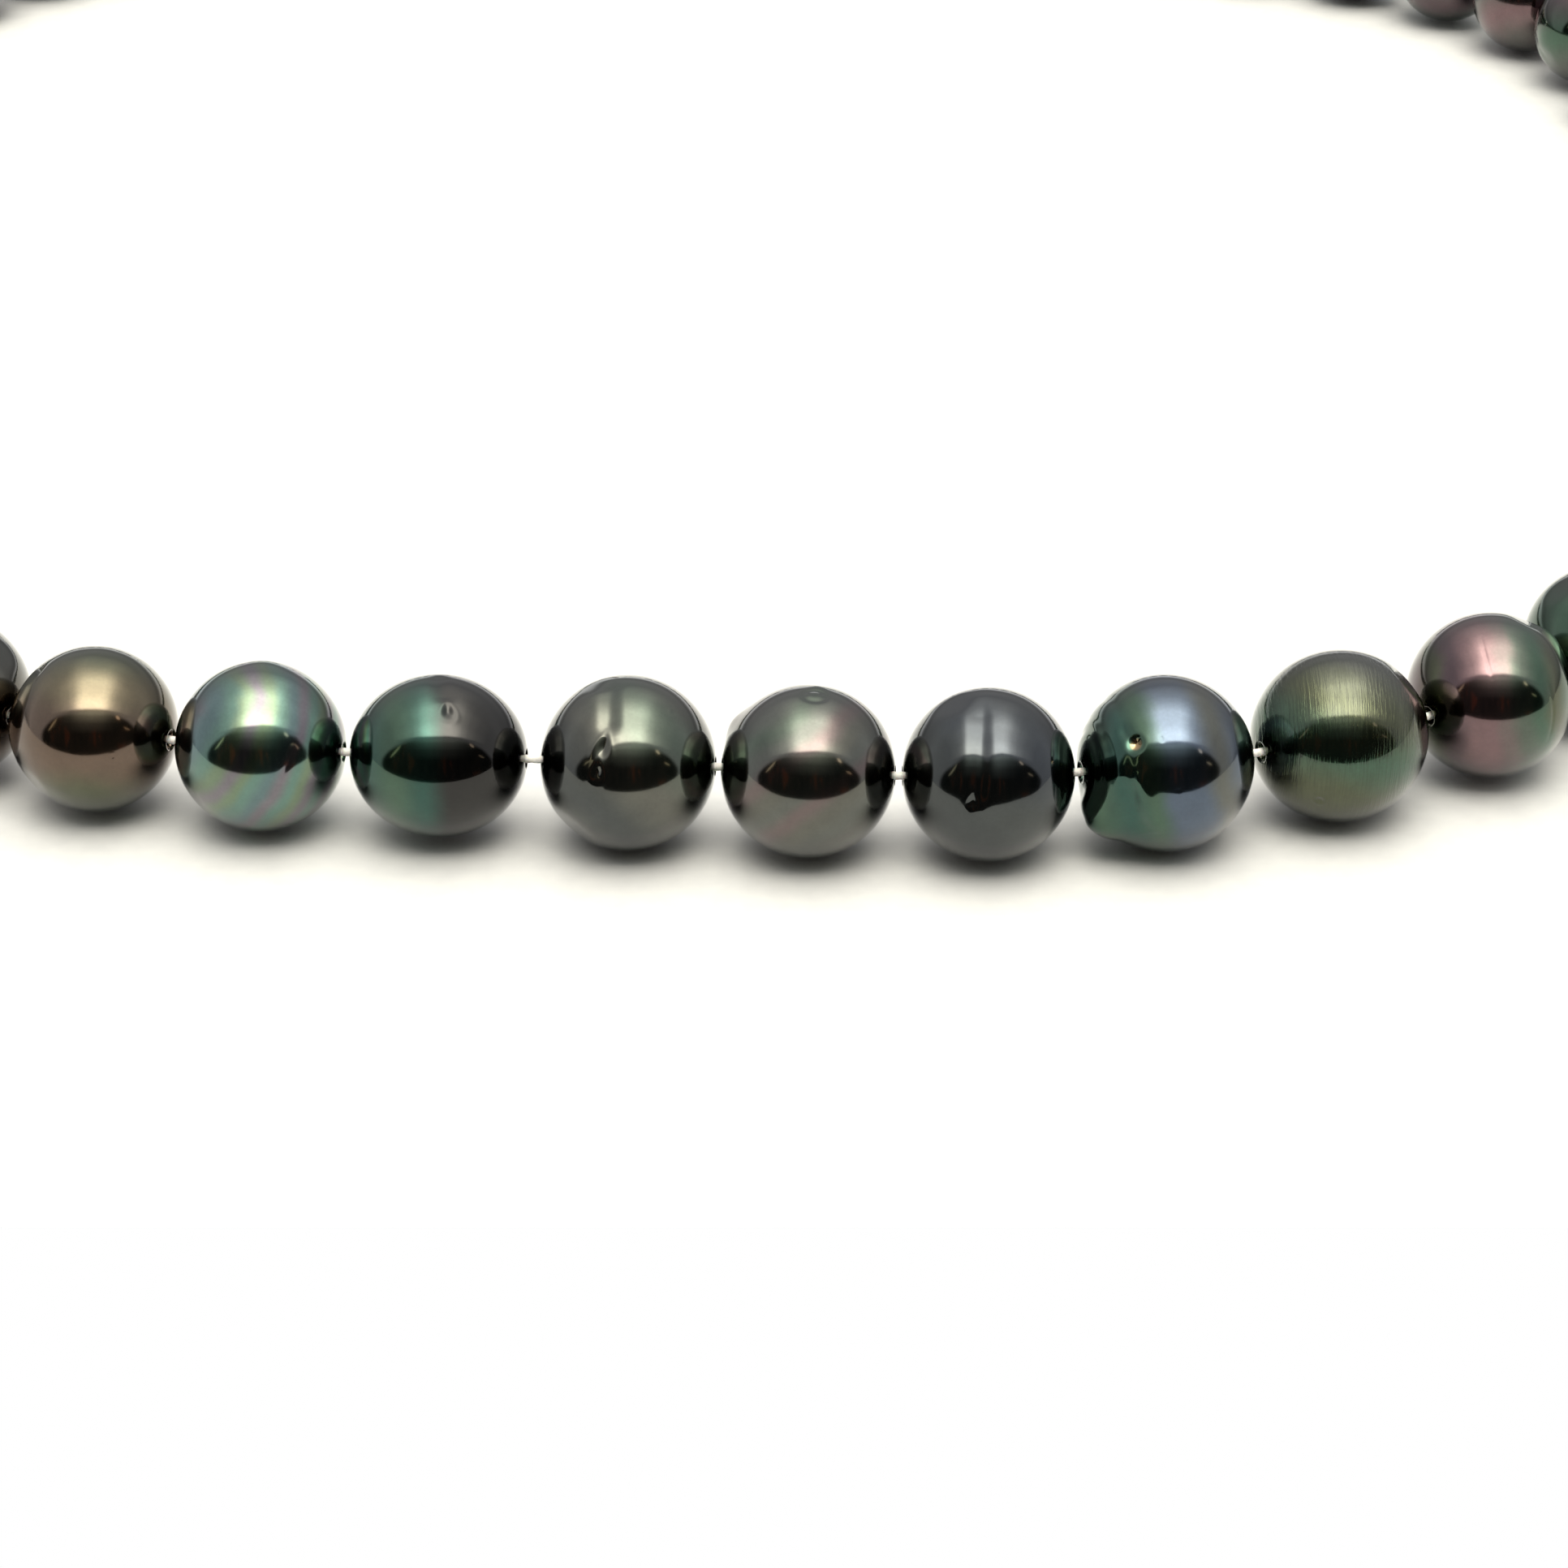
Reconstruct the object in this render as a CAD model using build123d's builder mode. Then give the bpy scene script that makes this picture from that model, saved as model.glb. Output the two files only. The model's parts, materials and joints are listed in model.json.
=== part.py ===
from build123d import *
from math import acos, asin, atan2, cos, hypot, pi, radians, sin, sqrt, tan
import os

os.makedirs("parts", exist_ok=True)

# A strand of 51 off-round pearls, strung on one continuous cord without knots between them and
# closed by a ball clasp. It lies on a flat surface in the loop of a necklace, unfastened, with
# the tongue of the clasp just outside the ball. +Z is up, +Y runs from the middle pearl of the
# front to the clasp, and all sizes are in millimetres.

# Pearls: the size across the bore, then along it, from the middle pearl outwards
MIDDLE_PEARL = (10.05, 10.1)
FRONT_RIGHT = [(10.05, 10.0), (10.3, 10.25), (10.1, 10.5), (9.9, 9.95), (10.0, 9.9)]
FRONT_LEFT = [(10.2, 10.2), (9.5, 10.35), (9.95, 9.95), (9.8, 9.75), (10.0, 10.1)]
PEARLS_PER_SIDE = 25
GRADED_FROM = 10.0      # size of the sixth pearl from the middle
GRADED_TO = 9.3         # size of the last pearl beside the clasp
OFF_ROUND_ACROSS = [0.0, -0.012, 0.008, -0.02, 0.012, -0.006, 0.016]
OFF_ROUND_ALONG = [0.006, 0.0, -0.022, 0.014, -0.008]
BORE = 1.0              # drill hole
BORE_MOUTH = 0.12       # chamfer at each mouth of the drill hole
SKIN_STEPS = 12         # spans of the smooth curve through the skin, from pole to pole

# Slack of the cord, seen as the gap between neighbours, from the middle outwards
FRONT_GAPS_RIGHT = [0.34, 0.28, 0.64, 0.7, 0.45]
FRONT_GAPS_LEFT = [0.3, 0.78, 0.36, 0.38, 0.42]
OTHER_GAPS = [0.34, 0.26, 0.42, 0.3, 0.38]

# Bore height over the surface, at the middle pearl and at the clasp
FRONT_HEIGHT = 5.15
CLASP_HEIGHT = 4.8

# Cord and the French wire that guards it where it loops through each ring of the clasp
CORD = 0.5
CORD_ROOM = 0.18        # how far the cord may leave the middle of the bores
KNOT = 1.6
KNOT_OFF = 0.9          # from the last pearl to the middle of the knot
GIMP_OUTER = 1.0
GIMP_INNER = 0.62
GIMP_TURN = 0.95        # radius of the loop, on its middle line
GIMP_CENTRE = 2.65      # from the last pearl to the centre of that loop
GIMP_LEGS = (1.65, 0.62)  # where each leg of the loop leaves the knot: off the pearl, off the middle
CORD_INTO_KNOT = 0.45   # how far each leg of the cord runs on, into the knot
GIMP_OFF_KNOT = 0.1
LINK_GAP = 0.05         # play between the wire of a ring and the loop through it

# Clasp
RING_WIRE = 0.7
RING_TURN = 1.15        # radius of the ring, on its middle line
RING_SUNK = 0.2         # how deep the ring is set into the solder on what carries it
BALL = 9.0
BALL_WALL = 0.45
COLLAR = 5.4            # flat-ended collar round the slot
COLLAR_END = 4.65       # its flat end, from the middle of the ball
COLLAR_ROUND = 0.2      # of the edge of that end
SLOT_WIDE = 4.2
SLOT_HIGH = 2.0
NECK_SLOT_WIDE = 1.8    # notch for the neck of the spring leaf, in the slot and in the cap
NECK_SLOT_TOP = 1.7
CAP_THICK = 0.8
CAP_DOME = 0.5
NECK_NOTCH_FLOOR = 0.3  # of the notch in the cap, over the middle
BLADE_WIDE = 3.6
BLADE_THICK = 0.35
BLADE_LONG = 5.0
BLADE_CORNER = 0.8
FOLD_HEIGHT = -0.15     # middle of the fold at the tip of the tongue
FOLD_OUTER = 0.475
LEAF_ROOM = 0.06        # play between the fold and the spring leaf
LEAF_THICK = 0.28
LEAF_WIDE = 3.4
LEAF_SLOPE = 12         # degrees
LEAF_SHOULDER = 0.75    # where the leaf narrows to its neck, in front of the cap
NECK_WIDE = 1.3
STEM_BACK = 0.85        # where the neck turns up to the thumb button, behind the cap's face
STEM_THICK = 0.4
BUTTON = 1.6
BUTTON_TOP = 3.3
BUTTON_THICK = 0.6

# Plan of the bores when the loop lies on the surface: points on a closed smooth curve, from the
# middle pearl round to the right, over the back and home along the left
LOOP = [
    (1.4, 0), (22.2, 0.9), (42.5, 9.6), (58, 25.5), (67, 49), (71.5, 77), (72.8, 105),
    (69.5, 131), (56.5, 152.5), (36, 162.5), (10, 166.5), (-18, 168.5), (-45, 167),
    (-68.5, 157), (-80, 136), (-81.5, 107), (-78.5, 76), (-72.3, 44), (-61.5, 18.6),
    (-42, 5.6), (-20.1, 2),
]


def save(piece, name):
    """Names one finished piece and writes it."""
    piece.part.label = name
    export_step(piece.part, f"parts/{name}.step")


# The loop: pivots halfway between neighbours, and one straight bore from pivot to pivot

with BuildLine() as plan:
    Spline(*LOOP, periodic=True)
loop_edge = plan.edges()[0]
RING_PIVOT = GIMP_CENTRE + GIMP_TURN - GIMP_OUTER / 2 - RING_WIRE / 2 - LINK_GAP


def on_loop(travel):
    """The point of the loop this far from its first point, counted to the right."""
    return loop_edge.position_at(travel % loop_edge.length, position_mode=PositionMode.LENGTH)


def next_stop(travel, chord, way):
    """How far along the loop the point lies that is one straight chord from the point at travel."""
    start, near, far = on_loop(travel), 0.0, 1.5 * chord
    for _ in range(40):
        middle = (near + far) / 2
        if (on_loop(travel + way * middle) - start).length < chord:
            near = middle
        else:
            far = middle
    return travel + way * near


def graded(number):
    """Sizes across and along the bore of a pearl further round than the front ones."""
    first = len(FRONT_RIGHT) + 1
    share = (number - first) / (PEARLS_PER_SIDE - first)
    size = GRADED_FROM + (GRADED_TO - GRADED_FROM) * share
    across = size * (1 + OFF_ROUND_ACROSS[number % len(OFF_ROUND_ACROSS)])
    return across, size * (1 + OFF_ROUND_ALONG[number % len(OFF_ROUND_ALONG)])


def sizes_and_gaps(front_sizes, front_gaps, shift):
    """Pearl sizes, and the gap on the inner side of each, for one side of the necklace."""
    further = range(len(front_sizes) + 1, PEARLS_PER_SIDE + 1)
    sizes = front_sizes + [graded(number) for number in further]
    gaps = front_gaps + [OTHER_GAPS[(number + shift) % len(OTHER_GAPS)] for number in further]
    return sizes, gaps


def pivots_along(sizes, gaps, way):
    """One side's pivots as points in space, from the middle pearl to the ring of the clasp."""
    travel = way * (MIDDLE_PEARL[1] + gaps[0]) / 2
    stops = [travel]
    for number, (_, along) in enumerate(sizes):
        beyond = gaps[number + 1] / 2 if number + 1 < len(gaps) else RING_PIVOT
        stops.append(next_stop(stops[-1], gaps[number] / 2 + along + beyond, way))
    places = []
    for number, stop in enumerate(stops):
        sunk = (FRONT_HEIGHT - CLASP_HEIGHT) * min(number / (PEARLS_PER_SIDE - 1), 1)
        places.append(on_loop(stop) + Vector(0, 0, FRONT_HEIGHT - sunk))
    return places


def bore_frame(inner, outer, distance):
    """The frame this far along the line between two points: X along that line, Z up."""
    along = (outer - inner).normalized()
    up = along.cross(Vector(0, 0, 1)).cross(along)
    return Plane(origin=inner + along * distance, x_dir=along, z_dir=up)


def strand(name, pivots, sizes, gaps):
    """The pearls of one side as (name, frame at the middle, size across, size along)."""
    found = []
    for number, (across, along) in enumerate(sizes):
        middle = gaps[number] / 2 + along / 2
        frame = bore_frame(pivots[number], pivots[number + 1], middle)
        found.append((f"pearl_{name}_{number + 1:02d}", frame, across, along))
    return found


right_sizes, right_gaps = sizes_and_gaps(FRONT_RIGHT, FRONT_GAPS_RIGHT, 0)
left_sizes, left_gaps = sizes_and_gaps(FRONT_LEFT, FRONT_GAPS_LEFT, 2)


def lay_out(shift):
    """Both sides' pivots and all pearls, with the whole loop moved by shift."""
    right = [point + shift for point in pivots_along(right_sizes, right_gaps, 1)]
    left = [point + shift for point in pivots_along(left_sizes, left_gaps, -1)]
    middle = bore_frame(left[0], right[0], (left_gaps[0] + MIDDLE_PEARL[1]) / 2)
    found = [("pearl_middle", middle, *MIDDLE_PEARL)]
    found += strand("right", right, right_sizes, right_gaps)
    found += strand("left", left, left_sizes, left_gaps)
    return right, left, found


def spread(found, direction):
    """The lowest and the highest place that the pearls reach in one direction."""
    lows, highs = [], []
    for _, frame, across, along in found:
        share = frame.x_dir.dot(direction)
        reach = sqrt((along * share) ** 2 + across**2 * (1 - share**2)) / 2
        lows.append(frame.origin.dot(direction) - reach)
        highs.append(frame.origin.dot(direction) + reach)
    return min(lows), max(highs)


# The origin is on the surface, under the middle of the loop
_, _, unshifted = lay_out(Vector(0, 0, 0))
ways = (Vector(1, 0, 0), Vector(0, 1, 0))
to_origin = [-sum(spread(unshifted, way)) / 2 for way in ways]
to_origin.append(-spread(unshifted, Vector(0, 0, 1))[0])
right_pivots, left_pivots, pearls = lay_out(Vector(*to_origin))


# Pearls

def pearl(name, frame, across, along):
    """One pearl: an oval turned about its own drill hole, whose mouths have a small chamfer."""
    standing = Plane(origin=frame.origin, x_dir=frame.x_dir, z_dir=-frame.y_dir)
    mouth = asin(BORE / across)
    turns = [mouth + (pi - 2 * mouth) * step / SKIN_STEPS for step in range(SKIN_STEPS + 1)]
    with BuildPart() as bead:
        with BuildSketch(standing):
            with BuildLine():
                skin = Spline(*[(along / 2 * cos(turn), across / 2 * sin(turn)) for turn in turns])
                Line(skin @ 1, skin @ 0)
            make_face()
        revolve(axis=Axis(frame.origin, frame.x_dir))
        chamfer(bead.edges().filter_by(GeomType.CIRCLE), BORE_MOUTH)
    save(bead, name)


for sizes in pearls:
    pearl(*sizes)


# Cord: one tube through every bore, with a knot and a loop beyond the last pearl at each end

def bend(before, corner, after):
    """The radius, start, middle and end of the arc at one corner, as large as the bores allow."""
    back, ahead = (before - corner).normalized(), (after - corner).normalized()
    half = radians(back.get_angle(-ahead)) / 2
    run = min((before - corner).length, (after - corner).length)
    radius = min(0.45 * run / tan(half), CORD_ROOM / (1 / cos(half) - 1))
    inward = (back + ahead).normalized()
    leave = radius * tan(half)
    middle = corner + inward * (radius / cos(half) - radius)
    return radius, corner + back * leave, middle, corner + ahead * leave


def end_frame(pivots, sizes, gaps):
    """The frame at the outer pole of a side's last pearl, X pointing out of its bore."""
    return bore_frame(pivots[-2], pivots[-1], gaps[-1] / 2 + sizes[-1][1])


ends = [end_frame(left_pivots, left_sizes, left_gaps), end_frame(right_pivots, right_sizes, right_gaps)]
knots = [end.from_local_coords((KNOT_OFF, 0, 0)) for end in ends]
route = [knots[0], *left_pivots[-2::-1], *right_pivots[:-1], knots[1]]
arcs = [bend(*corner) for corner in zip(route, route[1:], route[2:])]

# The loop through the ring: two straight legs that run tangent into the round end
leg_x, leg_y = GIMP_LEGS
to_leg = hypot(GIMP_CENTRE - leg_x, leg_y)
touch = atan2(leg_y, leg_x - GIMP_CENTRE) - acos(GIMP_TURN / to_leg)
touch_x, touch_y = GIMP_CENTRE + GIMP_TURN * cos(touch), GIMP_TURN * sin(touch)
leg_long = hypot(touch_x - leg_x, touch_y - leg_y)
leg_way = ((touch_x - leg_x) / leg_long, (touch_y - leg_y) / leg_long)


def loop_start(back):
    """The start of one leg, this far back along it towards the knot."""
    return leg_x - leg_way[0] * back, leg_y - leg_way[1] * back


def loop_line(end, back):
    """The middle line of the loop at one end of the strand, as a wire that lies flat."""
    x, y = loop_start(back)
    with BuildLine(end) as line:
        Line((x, y), (touch_x, touch_y))
        ThreePointArc((touch_x, touch_y), (GIMP_CENTRE + GIMP_TURN, 0), (touch_x, -touch_y))
        Line((touch_x, -touch_y), (x, -y))
    return line.wires()[0]


with BuildLine() as strung:
    here = route[0]
    for _, start, middle, stop in arcs:
        Line(here, start)
        ThreePointArc(start, middle, stop)
        here = stop
    Line(here, route[-1])
cord_line = strung.wires()[0]


def tube(line, outer, inner=0):
    """A round tube, or a solid cord where inner is 0, that follows a line."""
    with BuildPart() as run:
        with BuildSketch(Plane(origin=line @ 0, z_dir=line % 0)):
            Circle(outer / 2)
            if inner:
                Circle(inner / 2, mode=Mode.SUBTRACT)
        sweep(path=line)
    return run.part


def tight_knot(place, way):
    """A knot pulled tight: a ball of cord, turned about the line of the bore."""
    with BuildPart() as ball:
        with BuildSketch(Plane(origin=place, x_dir=way, z_dir=way.cross(Vector(0, 0, 1)))):
            Circle(KNOT / 2)
            Rectangle(KNOT, KNOT, align=(Align.CENTER, Align.MAX), mode=Mode.SUBTRACT)
        revolve(axis=Axis(place, way))
    return ball.part


with BuildPart() as bead_thread:
    for end, knot in zip(ends, knots):
        add(tight_knot(knot, end.x_dir))
        add(tube(loop_line(end, CORD_INTO_KNOT), CORD))
    add(tube(cord_line, CORD))
save(bead_thread, "bead_thread")
print("cord length", cord_line.length + 2 * loop_line(ends[0], CORD_INTO_KNOT).length)
print("radii of its bends", [round(radius, 1) for radius, *_ in arcs], "and", GIMP_TURN, "at the clasp")

# French wire: a close coil, solid here as a tube, that guards the loop where it meets the ring
for name, end in zip(("gimp_ball_side", "gimp_tongue_side"), ends):
    with BuildPart() as gimp:
        add(tube(loop_line(end, -GIMP_OFF_KNOT), GIMP_OUTER, GIMP_INNER))
    save(gimp, name)


# Clasp: both halves lie on the line between the two rings, X pointing from each ring to the other

ball_ring_frame = bore_frame(left_pivots[-1], right_pivots[-1], 0)
tongue_ring_frame = bore_frame(right_pivots[-1], left_pivots[-1], 0)
RING_LONG = 2 * RING_TURN + RING_WIRE / 2 - RING_SUNK
ON_X = (0, 90, 0)


def further_on(frame, distance):
    """The same frame, moved this far along its X."""
    return Plane(origin=frame.from_local_coords((distance, 0, 0)), x_dir=frame.x_dir, z_dir=frame.z_dir)


ball_middle = further_on(ball_ring_frame, RING_LONG + BALL / 2)
cap_face = further_on(tongue_ring_frame, RING_LONG + CAP_DOME + CAP_THICK)

with BuildPart(ball_middle) as clasp_ball_shell:
    Sphere(BALL / 2, rotation=ON_X)
    with Locations((COLLAR_END, 0, 0)):
        Cylinder(COLLAR / 2, BALL / 4, rotation=ON_X, align=(Align.CENTER, Align.CENTER, Align.MAX))
    ball_axis = Axis(ball_middle.origin, ball_middle.x_dir)
    fillet(clasp_ball_shell.edges().filter_by(GeomType.CIRCLE).sort_by(ball_axis)[-1], COLLAR_ROUND)
    Sphere(BALL / 2 - BALL_WALL, rotation=ON_X, mode=Mode.SUBTRACT)
    with Locations((BALL / 2, 0, 0)):
        Box(BALL / 2, SLOT_WIDE, SLOT_HIGH, mode=Mode.SUBTRACT)
        Box(BALL / 2, NECK_SLOT_WIDE, 2 * NECK_SLOT_TOP, mode=Mode.SUBTRACT)
save(clasp_ball_shell, "clasp_ball_shell")

with BuildPart(further_on(ball_ring_frame, RING_TURN)) as clasp_ball_ring:
    Torus(RING_TURN, RING_WIRE / 2, rotation=(90, 0, 0))
    with Locations((RING_LONG + BALL / 2 - RING_TURN, 0, 0)):
        Sphere(BALL / 2, mode=Mode.SUBTRACT)
save(clasp_ball_ring, "clasp_ball_ring")

bulge = (CAP_DOME**2 + (COLLAR / 2) ** 2) / (2 * CAP_DOME)
cap_back = -CAP_THICK - CAP_DOME
with BuildPart(cap_face) as tongue_cap:
    Cylinder(COLLAR / 2, -cap_back, rotation=ON_X, align=(Align.CENTER, Align.CENTER, Align.MAX))
    with Locations((cap_back + bulge, 0, 0)):
        Sphere(bulge, mode=Mode.INTERSECT)
    with Locations((0, 0, NECK_NOTCH_FLOOR)):
        Box(COLLAR, NECK_SLOT_WIDE, COLLAR, align=(Align.CENTER, Align.CENTER, Align.MIN), mode=Mode.SUBTRACT)
save(tongue_cap, "tongue_cap")

with BuildPart(further_on(tongue_ring_frame, RING_TURN)) as tongue_ring:
    Torus(RING_TURN, RING_WIRE / 2, rotation=(90, 0, 0))
    with Locations((RING_LONG - RING_TURN + bulge, 0, 0)):
        Sphere(bulge, mode=Mode.SUBTRACT)
save(tongue_ring, "tongue_ring")

# The tongue is a strip folded back on itself at the tip; the upper run springs about the fold
standing_tongue = Plane(origin=cap_face.origin, x_dir=cap_face.x_dir, z_dir=-cap_face.y_dir)
with BuildPart() as tongue_blade:
    with BuildSketch(standing_tongue):
        with Locations((0, FOLD_HEIGHT - FOLD_OUTER)):
            Rectangle(BLADE_LONG, BLADE_THICK, align=(Align.MIN, Align.MIN))
        with Locations((BLADE_LONG, FOLD_HEIGHT)):
            Circle(FOLD_OUTER)
            Circle(FOLD_OUTER - BLADE_THICK, mode=Mode.SUBTRACT)
        with Locations((BLADE_LONG, FOLD_HEIGHT - FOLD_OUTER + BLADE_THICK)):
            Rectangle(BLADE_LONG, 2 * FOLD_OUTER, align=(Align.MAX, Align.MIN), mode=Mode.SUBTRACT)
    extrude(amount=BLADE_WIDE / 2, both=True)
    with BuildSketch(cap_face.offset(-COLLAR / 2)):
        with Locations((BLADE_LONG + FOLD_OUTER, 0)):
            RectangleRounded(2 * BLADE_LONG, BLADE_WIDE, BLADE_CORNER, align=(Align.MAX, Align.CENTER))
    extrude(amount=COLLAR, mode=Mode.INTERSECT)
save(tongue_blade, "tongue_blade")

leaf_height = FOLD_HEIGHT + FOLD_OUTER - BLADE_THICK / 2
leaf_end = BLADE_LONG - LEAF_ROOM - LEAF_THICK / 2
leaf_pivot = cap_face.from_local_coords((leaf_end, 0, leaf_height))
slope = radians(LEAF_SLOPE)
leaf_frame = Plane(
    origin=leaf_pivot,
    x_dir=cap_face.z_dir * sin(slope) - cap_face.x_dir * cos(slope),
    z_dir=cap_face.z_dir * cos(slope) + cap_face.x_dir * sin(slope),
)
neck_rise = (leaf_end + STEM_BACK) * tan(slope)
with BuildPart() as tongue_spring_leaf:
    with BuildSketch(leaf_frame.offset(-LEAF_THICK / 2)):
        Rectangle((leaf_end - LEAF_SHOULDER) / cos(slope), LEAF_WIDE, align=(Align.MIN, Align.CENTER))
        Rectangle((leaf_end + STEM_BACK) / cos(slope), NECK_WIDE, align=(Align.MIN, Align.CENTER))
    extrude(amount=LEAF_THICK)
    with BuildSketch(Plane(origin=leaf_pivot, z_dir=cap_face.y_dir)):
        Circle(LEAF_THICK / 2)
    extrude(amount=LEAF_WIDE / 2, both=True)
    with BuildSketch(cap_face.offset(leaf_height + neck_rise - LEAF_THICK / 2)):
        with Locations((-STEM_BACK, 0)):
            RectangleRounded(STEM_THICK, NECK_WIDE, STEM_THICK / 3)
    extrude(amount=BUTTON_TOP - leaf_height - neck_rise)
    with BuildSketch(cap_face.offset(BUTTON_TOP - BUTTON_THICK)):
        with Locations((-STEM_BACK, 0)):
            Circle(BUTTON / 2)
    extrude(amount=BUTTON_THICK)
    fillet(tongue_spring_leaf.edges().filter_by(GeomType.CIRCLE).sort_by(Axis.Z)[-1], BUTTON_THICK / 3)
save(tongue_spring_leaf, "tongue_spring_leaf")

open_by = (right_pivots[-1] - left_pivots[-1]).length - 2 * RING_LONG - BALL / 2 - COLLAR_END
open_by -= CAP_DOME + CAP_THICK + BLADE_LONG + FOLD_OUTER
print("tongue stands off the ball by", open_by)
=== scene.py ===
import json
import random
from math import acos, asin, atan2, cos, hypot, pi, radians, sin, sqrt

import bpy
import numpy as np
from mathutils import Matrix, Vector


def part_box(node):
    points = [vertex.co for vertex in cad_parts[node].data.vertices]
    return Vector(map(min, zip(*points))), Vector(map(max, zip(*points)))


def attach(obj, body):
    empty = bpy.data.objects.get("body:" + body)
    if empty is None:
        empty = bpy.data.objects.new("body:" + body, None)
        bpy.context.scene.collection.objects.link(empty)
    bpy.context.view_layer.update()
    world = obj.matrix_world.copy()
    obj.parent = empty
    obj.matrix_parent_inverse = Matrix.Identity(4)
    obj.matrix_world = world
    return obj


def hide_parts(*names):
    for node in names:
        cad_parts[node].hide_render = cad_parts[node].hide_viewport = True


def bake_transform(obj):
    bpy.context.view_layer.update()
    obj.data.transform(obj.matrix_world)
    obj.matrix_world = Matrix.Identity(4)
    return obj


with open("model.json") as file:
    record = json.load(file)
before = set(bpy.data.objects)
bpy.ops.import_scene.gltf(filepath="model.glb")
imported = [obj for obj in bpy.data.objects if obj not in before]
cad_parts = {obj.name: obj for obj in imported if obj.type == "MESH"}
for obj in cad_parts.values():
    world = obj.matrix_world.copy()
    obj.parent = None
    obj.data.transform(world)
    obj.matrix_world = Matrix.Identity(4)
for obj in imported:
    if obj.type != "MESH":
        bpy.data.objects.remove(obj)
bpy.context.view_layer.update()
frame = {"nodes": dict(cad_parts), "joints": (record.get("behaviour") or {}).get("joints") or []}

MM = 0.001
PEARLS_PER_SIDE = 25
ELEVATION = 29          # of the camera over the surface, in degrees

# Directions as the camera sees them: a spot on a pearl is so many degrees right of and above the
# spot that faces the camera
RIGHT = np.array((1.0, 0.0, 0.0))
UP = np.array((0.0, sin(radians(ELEVATION)), cos(radians(ELEVATION))))
TOWARD = np.array((0.0, -cos(radians(ELEVATION)), sin(radians(ELEVATION))))
UPRIGHT = np.array((0.0, 0.0, 1.0))     # straight up from the floor


# Places, all from the frame ---------------------------------------------------------------------

joint_at = {joint["name"]: np.array(joint["pos_m"]) for joint in frame["joints"]}


def pivots_of(side):
    """The pivots of one side, from the middle pearl to the ring of the clasp."""
    last = "clasp_ball_swing" if side == "left" else "clasp_tongue_swing"
    names = [f"bend_{side}_{number + 1:02d}" for number in range(PEARLS_PER_SIDE)] + [last]
    return [joint_at[name] for name in names]


def unit(vector):
    return vector / np.linalg.norm(vector)


def strung_pearls():
    """Each pearl's middle, bore direction, and half sizes along and across the bore."""
    found = {}
    pivots = {side: pivots_of(side) for side in ("left", "right")}
    ends = {"pearl_middle": (pivots["left"][0], pivots["right"][0])}
    for side in ("left", "right"):
        for number in range(PEARLS_PER_SIDE):
            name = f"pearl_{side}_{number + 1:02d}"
            ends[name] = (pivots[side][number], pivots[side][number + 1])
    for name, (inner, outer) in ends.items():
        low, high = (np.array(corner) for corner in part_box(name))
        half = (high - low) / 2
        across = half[2]
        along = sqrt(half[0] ** 2 + half[1] ** 2 - across**2)
        found[name] = {"middle": (low + high) / 2, "bore": unit(outer - inner),
                       "along": along, "across": across}
    return found


pearls = strung_pearls()


# Meshes -----------------------------------------------------------------------------------------

def mesh_object(name, points, quads):
    """A smooth mesh object from an array of points and an array of quads."""
    mesh = bpy.data.meshes.new(name)
    mesh.vertices.add(len(points))
    mesh.vertices.foreach_set("co", np.asarray(points, np.float32).ravel())
    mesh.loops.add(quads.size)
    mesh.loops.foreach_set("vertex_index", quads.astype(np.int32).ravel())
    mesh.polygons.add(len(quads))
    mesh.polygons.foreach_set("loop_start", np.arange(0, quads.size, 4, dtype=np.int32))
    mesh.polygons.foreach_set("use_smooth", np.ones(len(quads), bool))
    mesh.update(calc_edges=True)
    piece = bpy.data.objects.new(name, mesh)
    bpy.context.scene.collection.objects.link(piece)
    return piece


def grid_quads(rows, columns, closed_rows):
    """The quads of a grid whose columns run round, and whose rows do too where closed_rows is set."""
    row = np.arange(rows if closed_rows else rows - 1)[:, None]
    column = np.arange(columns)[None, :]
    here, after = row * columns, (row + 1) % rows * columns
    beside = (column + 1) % columns
    corners = [here + column, here + beside, after + beside, after + column]
    corners = [np.broadcast_to(corner, (len(row), columns)) for corner in corners]
    return np.stack(corners, -1).reshape(-1, 4)


# Pearl shapes -----------------------------------------------------------------------------------
# A shape says how far the skin lifts off the plain oval in each direction from the pearl's middle.
# Depths and heights are shares of the radius, and places and sizes are angles in degrees.

BORE = 0.5 * MM         # radius of the drill hole
MOUTH = 0.13 * MM       # round edge at each mouth of the drill hole
MOUTH_STEPS = (25, 55, 90)
FADE_TO_MOUTH = 12      # over this angle the skin goes back to the plain oval at each mouth


def facing(right, up):
    """The direction so many degrees right of and above the one that faces the camera."""
    a, b = radians(right), radians(up)
    return cos(b) * sin(a) * RIGHT + sin(b) * UP + cos(b) * cos(a) * TOWARD


def angle_from(ways, way):
    """Angles in degrees between many unit directions and one."""
    return np.degrees(np.arccos(np.clip(ways @ way, -1, 1)))


def bell(distance, width):
    return np.exp(-((distance / width) ** 2))


def dimple(right, up, size, depth, rim=0.25):
    """A round pit with a low rim."""
    def shape(ways):
        away = angle_from(ways, facing(right, up))
        return -depth * bell(away, size) + rim * depth * bell(away - 1.6 * size, 0.55 * size)
    return shape


def ring_pit(right, up, size, depth):
    """A shallow ring-shaped groove round a low middle."""
    def shape(ways):
        away = angle_from(ways, facing(right, up))
        return -depth * bell(away - size, 0.4 * size) - 0.4 * depth * bell(away, size)
    return shape


def swell(right, up, size, height):
    """A soft bump."""
    def shape(ways):
        return height * bell(angle_from(ways, facing(right, up)), size)
    return shape


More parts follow.
